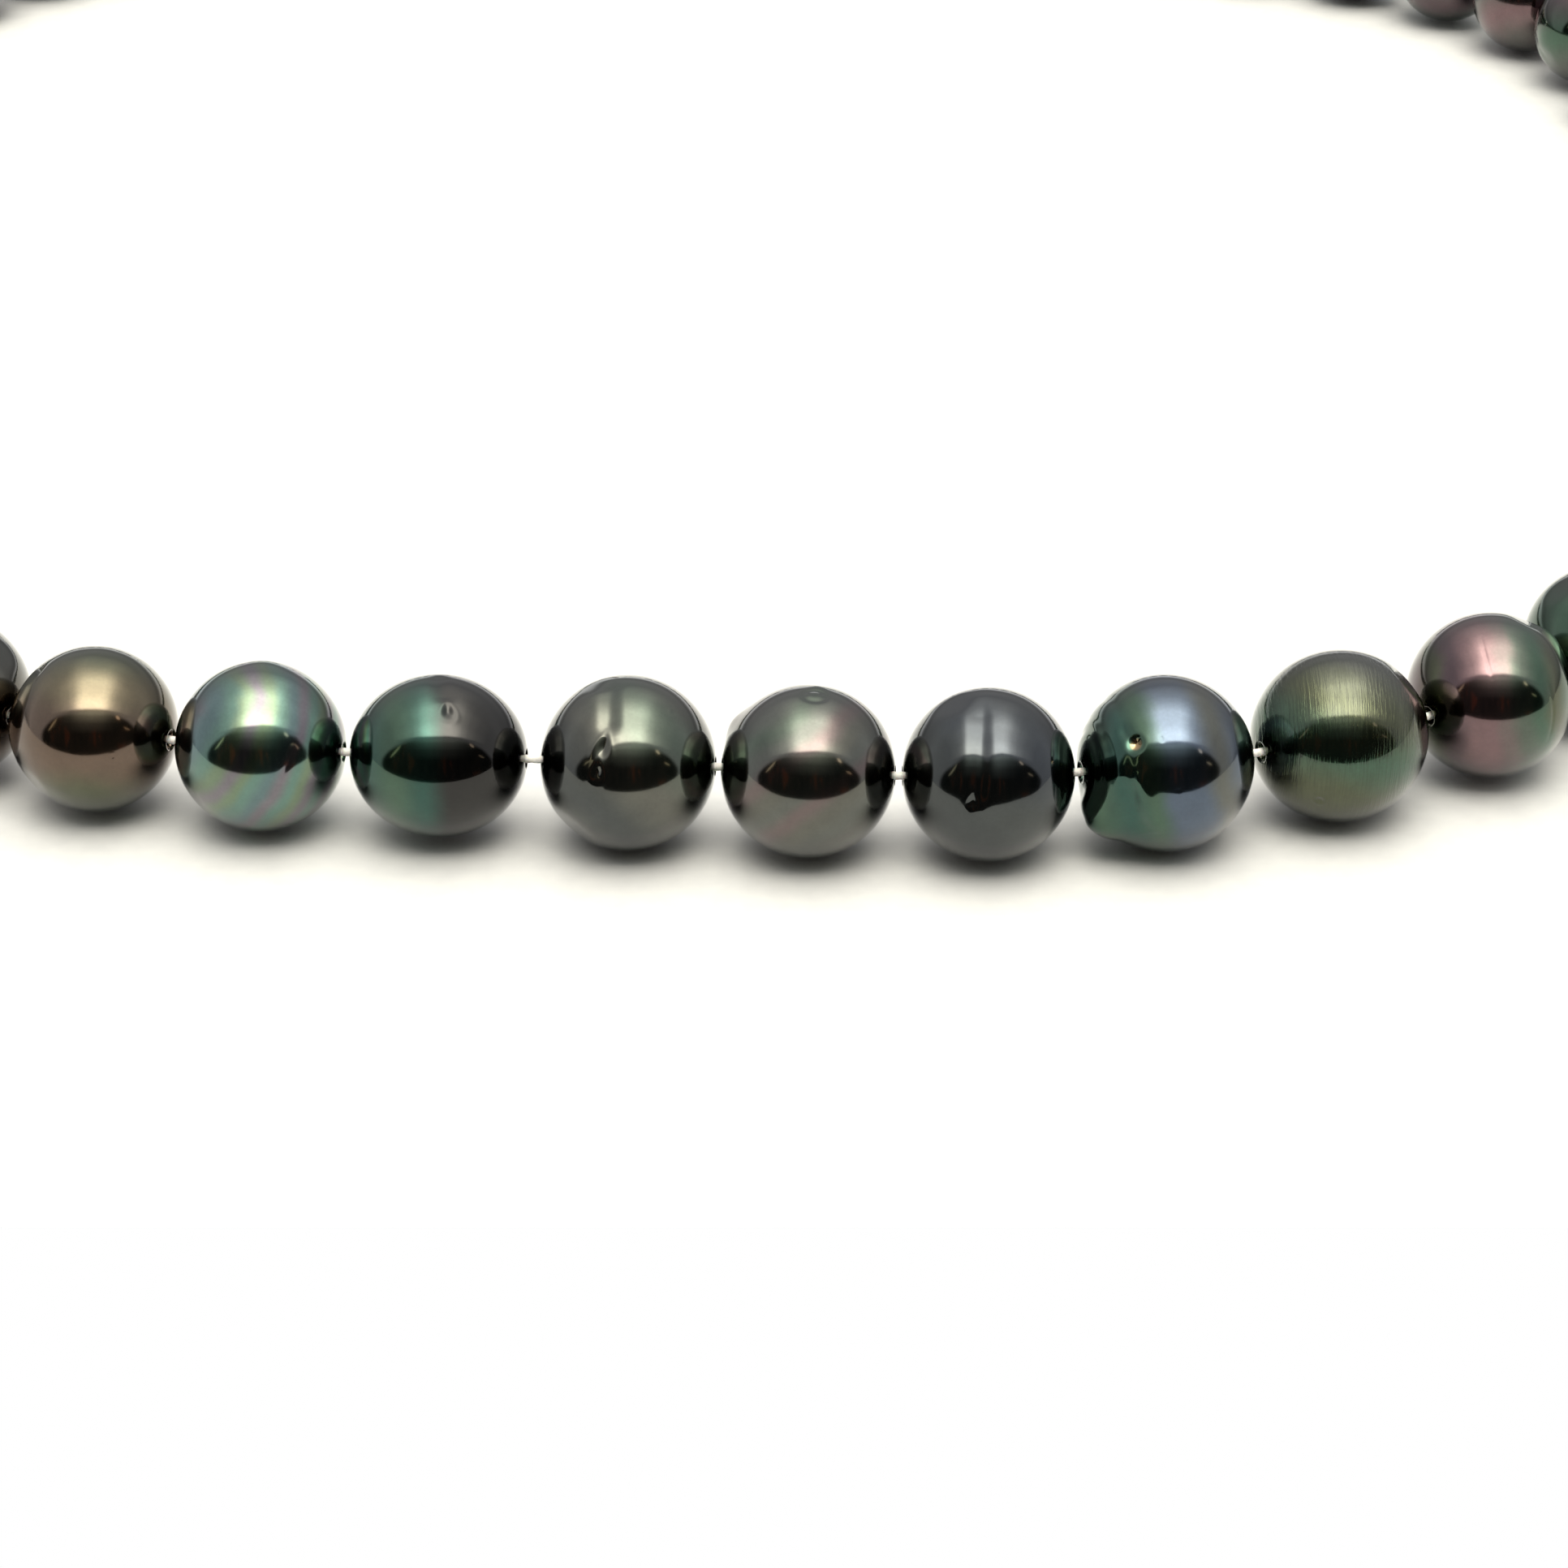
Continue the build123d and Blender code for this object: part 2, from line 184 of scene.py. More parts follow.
def flat(right, up, depth):
    """A face where the pearl is cut off flat by this share of its radius, with soft edges."""
    def shape(ways):
        reach = np.clip(ways @ facing(right, up), 0.05, 1)
        over = 1 - (1 - depth) / reach
        soft = 0.35 * depth
        return -soft * np.log1p(np.exp(np.clip(over / soft, -30, 30)))
    return shape


def crease(spots, size, depth):
    """A groove, or a ridge where depth is negative, along a line of spots, thinning to its ends."""
    stops = [facing(*spot) for spot in spots]

    def shape(ways):
        best, place = np.full(len(ways), np.inf), np.zeros(len(ways))
        for number, (start, stop) in enumerate(zip(stops, stops[1:])):
            run = stop - start
            share = np.clip(((ways - start) @ run) / (run @ run), 0, 1)
            away = np.degrees(np.linalg.norm(ways - (start + share[:, None] * run), axis=1))
            nearer = away < best
            best[nearer] = away[nearer]
            place[nearer] = (number + share[nearer]) / (len(stops) - 1)
        fade = np.clip(np.minimum(place, 1 - place) * 5, 0.15, 1)
        return -depth * fade * bell(best, size)
    return shape


def teardrop(right, up, lean, size, depth):
    """A pit that is long and pointed at one end, with the lean of its long axis from upright."""
    middle = facing(right, up)
    long_way = unit(facing(right + lean * 0.1, up + 6) - middle)
    wide_way = np.cross(middle, long_way)

    def shape(ways):
        along = np.degrees(ways @ long_way) / size
        beside = np.degrees(ways @ wide_way) / size
        width = np.clip(0.72 - 0.14 * along, 0.4, 1)
        away = np.sqrt((along / 1.3) ** 2 + (beside / width) ** 2)
        near = ways @ middle > 0
        return near * (-depth * bell(away, 1) + 0.12 * depth * bell(away - 1.9, 0.5))
    return shape


def rings(toward_clasp, turns, size, depth):
    """Grooves that run right round the bore, at these angles from one of its mouths."""
    def shape(ways, bore):
        from_pole = angle_from(ways, bore if toward_clasp else -bore)
        return sum(-depth * share * bell(from_pole - turn, size) for turn, share in turns)
    shape.needs_bore = True
    return shape


def lumps(seed, height):
    """The gentle unevenness of a pearl that is not quite round."""
    rng = np.random.default_rng(seed)
    waves = []
    for rate in (2, 2.6, 3.4, 6, 9):
        waves.append((rng.normal(size=3) * rate, rng.uniform(0, 2 * pi), rate))

    def shape(ways):
        return sum(height * np.sin(ways @ wave + phase) / rate for wave, phase, rate in waves)
    return shape


def pearl_mesh(name, pearl, shapes, around, along_count):
    """One pearl as a skin round its own bore: outside, rounded mouths, and the wall of the hole."""
    bore, middle = pearl["bore"], pearl["middle"]
    across_way = unit(np.cross(UPRIGHT, bore))
    up_way = np.cross(bore, across_way)
    start = asin((BORE + MOUTH) / pearl["across"])
    turns = np.linspace(start, pi - start, along_count)
    spin = np.linspace(0, 2 * pi, around, endpoint=False)
    spoke = np.cos(spin)[:, None] * across_way + np.sin(spin)[:, None] * up_way

    on_bore, off_bore = np.cos(turns)[:, None, None], np.sin(turns)[:, None, None]
    ways = (on_bore * bore + off_bore * spoke).reshape(-1, 3)
    lift = np.zeros(len(ways))
    for shape in shapes:
        lift += shape(ways, bore) if hasattr(shape, "needs_bore") else shape(ways)
    from_mouth = np.repeat(np.minimum(turns, pi - turns) - start, around)
    share = np.clip(np.degrees(from_mouth) / FADE_TO_MOUTH, 0, 1)
    lift *= share**2 * (3 - 2 * share)
    oval = on_bore * pearl["along"] * bore + off_bore * pearl["across"] * spoke
    outside = middle + oval.reshape(-1, 3) * (1 + lift)[:, None]

    # Each mouth is rounded over, and the hole runs straight between them
    pole = pearl["along"] * cos(start)
    bows = [radians(step) for step in MOUTH_STEPS]
    lip = [(pole - MOUTH * sin(bow), BORE + MOUTH * (1 - sin(bow))) for bow in bows]
    far_lip = [(-place, radius) for place, radius in lip]
    wall = far_lip + [(-pole / 2, BORE), (0, BORE), (pole / 2, BORE)] + lip[::-1]
    hole = np.concatenate([middle + place * bore + radius * spoke for place, radius in wall])

    points = np.concatenate([outside, hole])
    rows = along_count + len(wall)
    return mesh_object(name, points, grid_quads(rows, around, closed_rows=True))


# Materials --------------------------------------------------------------------------------------

def rgba(value):
    """A colour of three numbers gets its alpha, and anything else stays as it is."""
    return (*value, 1) if isinstance(value, tuple) and len(value) == 3 else value


class Nodes:
    """A short way to write a node tree: most calls add one node and return one of its outputs."""

    def __init__(self, tree):
        self.tree = tree

    def add(self, kind, inputs=(), output=0, **settings):
        node = self.tree.nodes.new("ShaderNode" + kind)
        for key, value in settings.items():
            setattr(node, key, value)
        for key, value in dict(inputs).items():
            self.put(node.inputs[key], value)
        return node.outputs[output]

    def put(self, socket, value):
        if isinstance(value, bpy.types.NodeSocket):
            self.tree.links.new(value, socket)
        else:
            socket.default_value = value

    def math(self, operation, a, b=0.0):
        return self.add("Math", {0: a, 1: b}, operation=operation)

    def vector(self, operation, a, b=(0, 0, 0)):
        output = 1 if operation in ("DOT_PRODUCT", "DISTANCE") else 0
        return self.add("VectorMath", {0: a, 1: b}, output, operation=operation)

    def scaled(self, vector, factor):
        return self.add("VectorMath", {0: vector, "Scale": factor}, operation="SCALE")

    def noise(self, place, scale, detail=2.0, distortion=0.0, output=0):
        inputs = {"Vector": place, "Scale": scale, "Detail": detail, "Distortion": distortion}
        return self.add("TexNoise", inputs, output)

    def drift(self, place, scale, detail, distortion, reach):
        """A noise vector that points any way, and at most about half of reach long each way."""
        noise = self.noise(place, scale, detail, distortion, output=1)
        return self.scaled(self.vector("SUBTRACT", noise, (0.5, 0.5, 0.5)), reach)

    def ramp(self, value, stops, smooth=False):
        """Colours, or grey levels, by a value from 0 to 1."""
        node = self.tree.nodes.new("ShaderNodeValToRGB")
        node.color_ramp.interpolation = "EASE" if smooth else "LINEAR"
        elements = node.color_ramp.elements
        while len(elements) < len(stops):
            elements.new(0.5)
        for element, (place, colour) in zip(elements, stops):
            element.position = place
            element.color = rgba(colour if isinstance(colour, tuple) else (colour,) * 3)
        self.put(node.inputs["Fac"], value)
        return node.outputs["Color"]

    def mix(self, factor, a, b, blend="MIX"):
        node = self.tree.nodes.new("ShaderNodeMix")
        node.data_type, node.blend_type = "RGBA", blend
        for index, value in ((0, factor), (6, a), (7, b)):
            self.put(node.inputs[index], rgba(value))
        return node.outputs[2]


class Surface(Nodes):
    """The nodes of a new material, which lead to its shader."""

    def __init__(self, name):
        self.material = bpy.data.materials.new(name)
        self.material.use_nodes = True
        super().__init__(self.material.node_tree)
        self.shader = self.tree.nodes["Principled BSDF"]

    def set(self, **sockets):
        for key, value in sockets.items():
            self.put(self.shader.inputs[key.replace("_", " ")], rgba(value))
        return self.material


# Overtones of dark nacre, as the share of light that it mirrors
BROWN = (0.115, 0.078, 0.055)
AUBERGINE = (0.085, 0.055, 0.062)
ROSE = (0.150, 0.090, 0.095)
OLIVE = (0.070, 0.078, 0.042)
BRONZE = (0.125, 0.102, 0.062)
GREEN = (0.048, 0.095, 0.062)
TEAL = (0.022, 0.070, 0.055)
BLUE = (0.070, 0.095, 0.135)
STEEL = (0.052, 0.060, 0.062)
SMOKE = (0.018, 0.017, 0.016)
SILVER = (0.140, 0.195, 0.125)
SEA = (0.100, 0.160, 0.165)
LILAC = (0.160, 0.145, 0.165)
MINT = (0.110, 0.200, 0.165)
SLATE = (0.095, 0.100, 0.088)
MOSS = (0.076, 0.098, 0.076)
DUSK = (0.122, 0.094, 0.090)
HAZE = (0.098, 0.098, 0.082)
IRON = (0.048, 0.054, 0.053)
GRAPHITE = (0.038, 0.043, 0.044)
INK = (0.040, 0.047, 0.056)
AMBER = (0.42, 0.27, 0.13)
SCRATCH = (0.02, 0.024, 0.014)

SKIN_BUMP = 0.02 * MM   # depth of the finest unevenness of a pearl
FINE_BUMP = 0.01 * MM   # and of silk and metal
WEAR = (3000.0, 3000.0, 3000.0)     # how finely the marks on metal lie along each axis


def nacre(name, pearl, palette, axis, bands=0.6, warp=0.5, phase=0.0, patch=None, scratches=0.0):
    """Nacre: tinted bands that lie across axis, warped, under a clear polished skin."""
    n = Surface(name)
    place = n.vector("SUBTRACT", n.add("TexCoord", output=3), tuple(pearl["middle"]))
    place = n.scaled(place, 1 / pearl["across"])
    warped = n.vector("ADD", place, n.drift(place, 0.9, 3.0, 0.4, warp))
    band = n.vector("DOT_PRODUCT", warped, tuple(unit(np.array(axis, float)) * bands / 2))
    band = n.math("ADD", band, 0.5 + phase)
    band = n.math("PINGPONG", band, 1.0)
    last = len(palette) - 1
    colour = n.ramp(band, [(number / last, tint) for number, tint in enumerate(palette)], smooth=True)
    if patch:
        tint, towards, size = patch
        away = n.vector("DISTANCE", place, tuple(towards))
        share = n.ramp(away, [(0.6 * radians(size), 1.0), (1.1 * radians(size), 0.0)], smooth=True)
        colour = n.mix(share, colour, tint)
    cloud = n.noise(place, 3.2, 5.0, 0.3)
    colour = n.mix(0.35, colour, n.ramp(cloud, [(0.3, 0.55), (0.7, 1.0)]), "MULTIPLY")
    grain = n.noise(place, 26.0, 4.0)
    colour = n.mix(0.18, colour, n.ramp(grain, [(0.35, 0.6), (0.65, 1.0)]), "MULTIPLY")
    rough = n.add("MapRange", {"Value": n.noise(place, 6.0, 4.0), "To Min": 0.09, "To Max": 0.14})
    skin = n.add("Bump", {"Height": n.noise(place, 9.0, 3.0), "Strength": 0.05, "Distance": SKIN_BUMP})
    if scratches:
        stretched = n.vector("MULTIPLY", place, (46.0, 3.0, 3.0))
        lines = n.ramp(n.noise(stretched, 1.0, 3.0), [(0.42, 0.0), (0.62, 1.0)])
        inputs = {"Height": lines, "Strength": scratches, "Distance": SKIN_BUMP, "Normal": skin}
        skin = n.add("Bump", inputs)
        colour = n.mix(n.math("MULTIPLY", lines, 0.22), colour, SCRATCH)
    n.set(Base_Color=colour, Metallic=1.0, Roughness=rough, Normal=skin)
    return n.set(Coat_Weight=1.0, Coat_IOR=1.36, Coat_Roughness=0.03)


def silk():
    """Twisted off-white silk."""
    n = Surface("silk")
    place = n.add("TexCoord", output=3)
    fibre = n.noise(place, 9000.0, 4.0, 1.0)
    colour = n.ramp(fibre, [(0.3, (0.78, 0.76, 0.72)), (0.7, (0.92, 0.91, 0.88))])
    bump = n.add("Bump", {"Height": fibre, "Strength": 0.5, "Distance": FINE_BUMP})
    n.set(Base_Color=colour, Roughness=0.62, Normal=bump)
    return n.set(Sheen_Weight=0.3, Subsurface_Weight=0.1, Subsurface_Scale=0.2 * MM)


def polished_metal(name, tint, roughness, brushed=None):
    """White metal with fine wear, or brushed where brushed says how finely along each axis."""
    n = Surface(name)
    place = n.add("TexCoord", output=3)
    cloud = n.noise(place, 900.0, 4.0, 0.3)
    colour = n.mix(n.ramp(cloud, [(0.35, 0.0), (0.75, 1.0)]), tint, tuple(0.86 * part for part in tint))
    stretched = n.vector("MULTIPLY", place, brushed or WEAR)
    lines = n.noise(stretched, 1.0, 6.0, 0.0 if brushed else 1.5)
    rough = n.add("MapRange", {"Value": lines, "From Min": 0.3, "From Max": 0.7,
                               "To Min": roughness * 0.7, "To Max": roughness * 1.5})
    strength = 0.08 if brushed else 0.06
    bump = n.add("Bump", {"Height": lines, "Strength": strength, "Distance": FINE_BUMP})
    return n.set(Base_Color=colour, Metallic=1.0, Roughness=rough, Normal=bump)


# The pearls -------------------------------------------------------------------------------------
# Each front pearl as the camera sees it: its shape, and the bands of its overtones

FRONT = {
    "pearl_left_05": dict(
        shapes=[lumps(5, 0.006), flat(60, 30, 0.02)],
        look=dict(palette=[AUBERGINE, BROWN, SLATE], axis=(0.4, 0.2, 0.9), bands=1.0)),
    "pearl_left_04": dict(
        shapes=[lumps(4, 0.004), swell(-84, 4, 22, 0.035), dimple(-10, -27, 1.6, 0.006),
                dimple(-12, -29, 1.2, 0.005), dimple(22, -20, 1.2, 0.004), flat(-62, 42, 0.012),
                flat(-66, -40, 0.02)],
        look=dict(palette=[OLIVE, BROWN, BROWN, BRONZE, OLIVE], axis=(0.1, 0.5, 0.85), bands=1.1)),
    "pearl_left_03": dict(
        shapes=[lumps(3, 0.004), swell(20, 78, 12, 0.012),
                crease([(30, 4), (26, -12), (17, -28), (6, -46)], 2.2, 0.0035),
                crease([(-2, -42), (10, -50), (22, -46)], 4.0, 0.004), flat(-70, -38, 0.015)],
        look=dict(palette=[LILAC, SILVER, MINT, SEA, LILAC, MINT, SILVER, LILAC, MINT],
                  axis=(0.82, 0.3, -0.5), bands=1.9, warp=0.35)),
    "pearl_left_02": dict(
        shapes=[lumps(2, 0.004), teardrop(11, 29, 0, 3.8, 0.030),
                crease([(10, 38), (9, 50), (6, 64), (4, 82)], 6, 0.024), swell(88, -2, 3, 0.010)],
        look=dict(palette=[TEAL, GREEN, TEAL, SMOKE, SMOKE, SMOKE],
                  axis=(1, 0.1, 0.0), bands=1.15, warp=0.25, phase=0.02)),
    "pearl_left_01": dict(
        shapes=[lumps(1, 0.004), crease([(-30, 74), (-16, 48), (-12, 30), (-12, 16)], 7, 0.034),
                teardrop(-15, 6, 10, 4.4, 0.024), teardrop(-19, -9, 10, 3.6, 0.022),
                flat(-72, -47, 0.035), swell(37, 35, 1.5, 0.004), flat(-46, 62, 0.02)],
        look=dict(palette=[HAZE, IRON, HAZE, MOSS, DUSK], axis=(0.7, 0.3, 0.6), bands=0.8, warp=0.6)),
    "pearl_middle": dict(
        shapes=[lumps(6, 0.004), ring_pit(8, 60, 7, 0.012), swell(-97, 33, 12, 0.055),
                swell(24, 74, 5, 0.010)],
        look=dict(palette=[MOSS, SLATE, DUSK, HAZE, SLATE, DUSK, HAZE, SLATE],
                  axis=(0.62, -0.3, -0.72), bands=1.5, warp=0.35)),
    "pearl_right_01": dict(
        shapes=[lumps(7, 0.004),
                crease([(-14, 66), (-9, 42), (-8, 24), (-8, 4), (-10, -14), (-14, -26)], 7, 0.042),
                flat(-44, 54, 0.03), teardrop(-15, -22, 12, 3.4, 0.024)],
        look=dict(palette=[IRON, GRAPHITE, IRON, INK, GRAPHITE],
                  axis=(0.5, 0.1, 0.86), bands=0.7, warp=0.6)),
    "pearl_right_02": dict(
        shapes=[lumps(8, 0.005), dimple(-25, 12, 4.2, 0.045, 0.06), crease([(-9, 17), (-6, 14)], 1.2, 0.003),
                crease([(1, -17), (4, -18), (6, -16)], 0.9, 0.002), dimple(4, -28, 0.9, 0.004, 0.0),
                swell(-72, -38, 17, 0.170), rings(False, [(27, 1.0), (36, 0.5), (52, 0.6)], 4, 0.014),
                crease([(-24, -4), (-18, -24), (-12, -54)], 5, -0.018),
                crease([(-36, -8), (-30, -30), (-24, -52)], 7, 0.022),
                crease([(-40, 24), (-28, 16), (-22, 12)], 4, 0.010)],
        look=dict(palette=[GREEN, TEAL, GREEN, BLUE, BLUE, SLATE, BLUE],
                  axis=(0.95, 0.1, 0.2), bands=1.2, warp=0.45, patch=(AMBER, facing(-25, 12), 4.5))),
    "pearl_right_03": dict(
        shapes=[lumps(9, 0.004), flat(72, 38, 0.03), dimple(-25, -48, 2.4, 0.014)],
        look=dict(palette=[OLIVE, OLIVE, GREEN, OLIVE, SLATE],
                  axis=(0.3, 0.2, 0.9), bands=0.9, scratches=0.5)),
    "pearl_right_04": dict(
        shapes=[lumps(10, 0.004), crease([(-19, 46), (-13, 28), (-8, 10)], 1.3, 0.004),
                crease([(33, 8), (40, -12), (46, -34)], 1.6, 0.006),
                swell(82, 44, 12, 0.035), flat(60, 62, 0.02)],
        look=dict(palette=[OLIVE, AUBERGINE, ROSE, ROSE, DUSK, MOSS, GREEN, OLIVE],
                  axis=(0.95, 0.0, 0.15), bands=1.35, warp=0.45)),
    "pearl_right_05": dict(
        shapes=[lumps(11, 0.005), flat(-60, 40, 0.02)],
        look=dict(palette=[SLATE, GREEN, AUBERGINE], axis=(0.5, 0.3, 0.8), bands=1.0)),
}

# The other pearls draw theirs from these
PALETTES = [
    [SLATE, GREEN, AUBERGINE, SLATE],
    [STEEL, SLATE, BLUE],
    [OLIVE, GREEN, SLATE],
    [BROWN, AUBERGINE, OLIVE],
    [TEAL, GREEN, STEEL],
    [ROSE, SLATE, GREEN, AUBERGINE],
    [BLUE, STEEL, TEAL],
    [SMOKE, STEEL, GREEN],
]

# How many points a skin has round the bore, and from one mouth to the other
FRONT_GRID = (288, 200)
OTHER_GRID = (96, 64)


def chance_shapes(rng, number):
    """Spots and grooves for a pearl that the camera doesn't see close up."""
    shapes = [lumps(100 + number, 0.006)]
    for _ in range(rng.choice((0, 1, 1, 2))):
        right, up = rng.uniform(-180, 180), rng.uniform(-70, 70)
        shapes.append(dimple(right, up, rng.uniform(2, 4.5), rng.uniform(0.01, 0.035)))
    for _ in range(rng.choice((0, 0, 1))):
        right, up = rng.uniform(-180, 180), rng.uniform(-60, 60)
        shapes.append(teardrop(right, up, rng.uniform(-30, 30), 4, 0.03))
    for _ in range(rng.choice((0, 1, 2))):
        right, up = rng.uniform(-180, 180), rng.uniform(-60, 60)
        shapes.append(flat(right, up, rng.uniform(0.01, 0.03)))
    if rng.random() < 0.2:
        turns = [(rng.uniform(30, 50), 1.0), (rng.uniform(55, 75), 0.6)]
        shapes.append(rings(rng.random() < 0.5, turns, 4, 0.012))
    if rng.random() < 0.25:
        right, up = rng.uniform(-180, 180), rng.uniform(-30, 60)
        shapes.append(crease([(right, up), (right + 12, up - 25), (right + 18, up - 50)], 4, 0.012))
    return shapes


def chance_look(rng):
    palette = rng.choice(PALETTES)
    axis = (rng.uniform(-1, 1), rng.uniform(-1, 1), rng.uniform(0.2, 1))
    return dict(palette=palette, axis=axis, bands=rng.uniform(0.7, 1.5), warp=rng.uniform(0.35, 0.6))


def make_pearls():
    for number, (name, pearl) in enumerate(pearls.items()):
        rng = random.Random(number)
        if name in FRONT:
            recipe, grid = FRONT[name], FRONT_GRID
        else:
            recipe, grid = dict(shapes=chance_shapes(rng, number), look=chance_look(rng)), OTHER_GRID
        piece = pearl_mesh(name + "_nacre", pearl, recipe["shapes"], *grid)
        piece.data.materials.append(nacre(name + "_nacre", pearl, **recipe["look"]))
        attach(piece, name)
        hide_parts(name)


make_pearls()


# The silk, the French wire and the clasp ---------------------------------------------------------

CORD = 0.25 * MM        # radius of the silk
LAY = 1.6 * MM          # one full turn of its three strands
CORD_SIDES = 18
CORD_STEP = 0.2 * MM
BEND_STEPS = 13
BEND_REACH = 0.8 * MM   # how far each side of a pivot the silk bends
KNOT = 0.8 * MM         # radius of a knot
KNOT_OFF = 0.9 * MM     # middle of a knot, from the pole of the last pearl
KNOT_STEPS = 97

# The loop through a ring of the clasp, from the pole of the last pearl: where its first leg leaves
# the knot, the centre of its round end, and that end's radius
LEG_X, LEG_Y = 1.65 * MM, 0.62 * MM
LOOP_CENTRE, LOOP_TURN = 2.65 * MM, 0.95 * MM
LOOP_STEPS = 24
LOOP_STEP = 0.12 * MM
LOOP_INTO_KNOT = 0.9 * MM   # how far the silk's legs run back into the knot
GIMP_SHORT = 0.1 * MM       # how far along the legs the French wire starts and ends

COIL_RADIUS, COIL_WIRE, COIL_PITCH = 0.405 * MM, 0.09 * MM, 0.2 * MM
COIL_SIDES = 8
COIL_STEP = 0.02 * MM
END_HOLE = 0.05         # of a tube's radius, left open in the middle of its ends


def travel_along(line):
    """How far along a line each of its points lies."""
    return np.concatenate([[0], np.cumsum(np.linalg.norm(np.diff(line, axis=0), axis=1))])


def swept(name, line, radius, around, section=None):
    """A tube along a line of points, whose radius may change with section(turn, travel)."""
    line = np.asarray(line)
    step = np.gradient(line, axis=0)
    ahead = step / np.linalg.norm(step, axis=1)[:, None]
    travel = travel_along(line)
    side = [unit(np.cross(ahead[0], UPRIGHT))]
    for way in ahead[1:]:
        side.append(unit(side[-1] - way * (side[-1] @ way)))
    side = np.array(side)
    up = np.cross(ahead, side)
    turn = np.linspace(0, 2 * pi, around, endpoint=False)
    out = radius * (section(turn[None, :], travel[:, None]) if section else np.ones((len(line), around)))
    spoke = np.cos(turn)[None, :, None] * side[:, None] + np.sin(turn)[None, :, None] * up[:, None]
    points = (line[:, None] + out[:, :, None] * spoke).reshape(-1, 3)
    # The ends are closed in towards their middles
    count = len(points)
    first_end = line[0] + END_HOLE * (points[:around] - line[0])
    last_end = line[-1] + END_HOLE * (points[-around:] - line[-1])
    points = np.concatenate([points, first_end, last_end])
    quads = grid_quads(len(line), around, closed_rows=False)
    here, after = np.arange(around), (np.arange(around) + 1) % around
    first = np.stack([after, here, here + count, after + count], 1)
    row, end = count - around, count + around
    last = np.stack([row + here, row + after, end + after, end + here], 1)
    return mesh_object(name, points, np.concatenate([quads, first, last]))


def three_ply(turn, travel):
    """The section of a cord of three strands, which turn once in every lay."""
    return 0.86 + 0.14 * np.abs(np.cos(1.5 * (turn - 2 * pi * travel / LAY)))


def in_frame(end, places):
    """Places given along the bore, beside it and above it, from the outer pole of an end pearl."""
    pole, along, beside, above = end
    return np.array([pole + x * along + y * beside + z * above for x, y, z in places])


def end_of(side):
    """The outer pole of a side's last pearl, with its directions along, beside and above."""
    pearl = pearls[f"pearl_{side}_{PEARLS_PER_SIDE:02d}"]
    along = pearl["bore"]
    beside = unit(np.cross(UPRIGHT, along))
    return pearl["middle"] + pearl["along"] * along, along, beside, np.cross(along, beside)


def loop_places(back):
    """The line of the loop through a ring: a leg, the round end and the other leg.

    The legs start this far back in the knot, or further out where back is negative.
    """
    to_leg = hypot(LOOP_CENTRE - LEG_X, LEG_Y)
    touch = atan2(LEG_Y, LEG_X - LOOP_CENTRE) - acos(LOOP_TURN / to_leg)
    touch_x, touch_y = LOOP_CENTRE + LOOP_TURN * cos(touch), LOOP_TURN * sin(touch)
    long_way = hypot(touch_x - LEG_X, touch_y - LEG_Y)
    start_x = LEG_X - (touch_x - LEG_X) / long_way * back
    start_y = LEG_Y - (touch_y - LEG_Y) / long_way * back
    turns = np.linspace(touch, -touch, LOOP_STEPS)
    arc = [(LOOP_CENTRE + LOOP_TURN * cos(turn), LOOP_TURN * sin(turn), 0) for turn in turns]
    shares = np.linspace(0, 1, LOOP_STEPS // 3, endpoint=False)
    leg = [(start_x + (touch_x - start_x) * share, start_y + (touch_y - start_y) * share, 0)
           for share in shares]
    return leg + arc + [(x, -y, z) for x, y, z in leg[::-1]]


def spaced(line, gap):
    """The same line with its points this far apart."""
    line = np.asarray(line)
    travel = travel_along(line)
    stops = np.linspace(0, travel[-1], max(int(travel[-1] / gap), 2) + 1)
    return np.stack([np.interp(stops, travel, line[:, axis]) for axis in range(3)], 1)


def knot_places():
    """An overhand knot pulled tight, as the closed three-lobed line of such a knot."""
    wide = 0.6 * (KNOT - CORD)
    return [(KNOT_OFF - 0.5 * wide * sin(3 * turn),
             wide * (sin(turn) + 0.75 * sin(2 * turn)),
             wide * (cos(turn) - 0.75 * cos(2 * turn))) for turn in np.linspace(0, 2 * pi, KNOT_STEPS)]


def add_thread_piece(name, line, material, body=None):
    """One piece of the cord, which rides on a body, or else stays on no body, built bent between the two
    pearls that it joins.
    """
    piece = swept(name, line, CORD, CORD_SIDES, three_ply)
    piece.data.materials.append(material)
    if body:
        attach(piece, body)
    else:
        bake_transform(piece)
    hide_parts("bead_thread")


def make_thread():
    """The cord: a piece for every gap, which bends there, and the knot and loop at each end."""
    material = silk()
    for side in ("left", "right"):
        names = ["pearl_middle"] + [f"pearl_{side}_{number + 1:02d}" for number in range(PEARLS_PER_SIDE)]
        for number, pivot in enumerate(pivots_of(side)[:-1]):
            inner, outer = pearls[names[number]]["middle"], pearls[names[number + 1]]["middle"]
            before, after = pivot + BEND_REACH * unit(inner - pivot), pivot + BEND_REACH * unit(outer - pivot)
            shares = np.linspace(0, 1, BEND_STEPS)[1:-1, None]
            curve = (1 - shares) ** 2 * before + 2 * shares * (1 - shares) * pivot + shares**2 * after
            line = spaced(np.concatenate([[inner, before], curve, [after, outer]]), CORD_STEP)
            add_thread_piece(f"thread_{side}_{number + 1:02d}", line, material)
        end = end_of(side)
        to_knot = spaced([pearls[names[-1]]["middle"], end[0] + KNOT_OFF * end[1]], CORD_STEP)
        knot = in_frame(end, knot_places())
        loop = spaced(in_frame(end, loop_places(LOOP_INTO_KNOT)), LOOP_STEP)
        for part, line in (("end", to_knot), ("knot", knot), ("loop", loop)):
            add_thread_piece(f"thread_{side}_{part}", line, material, body=names[-1])


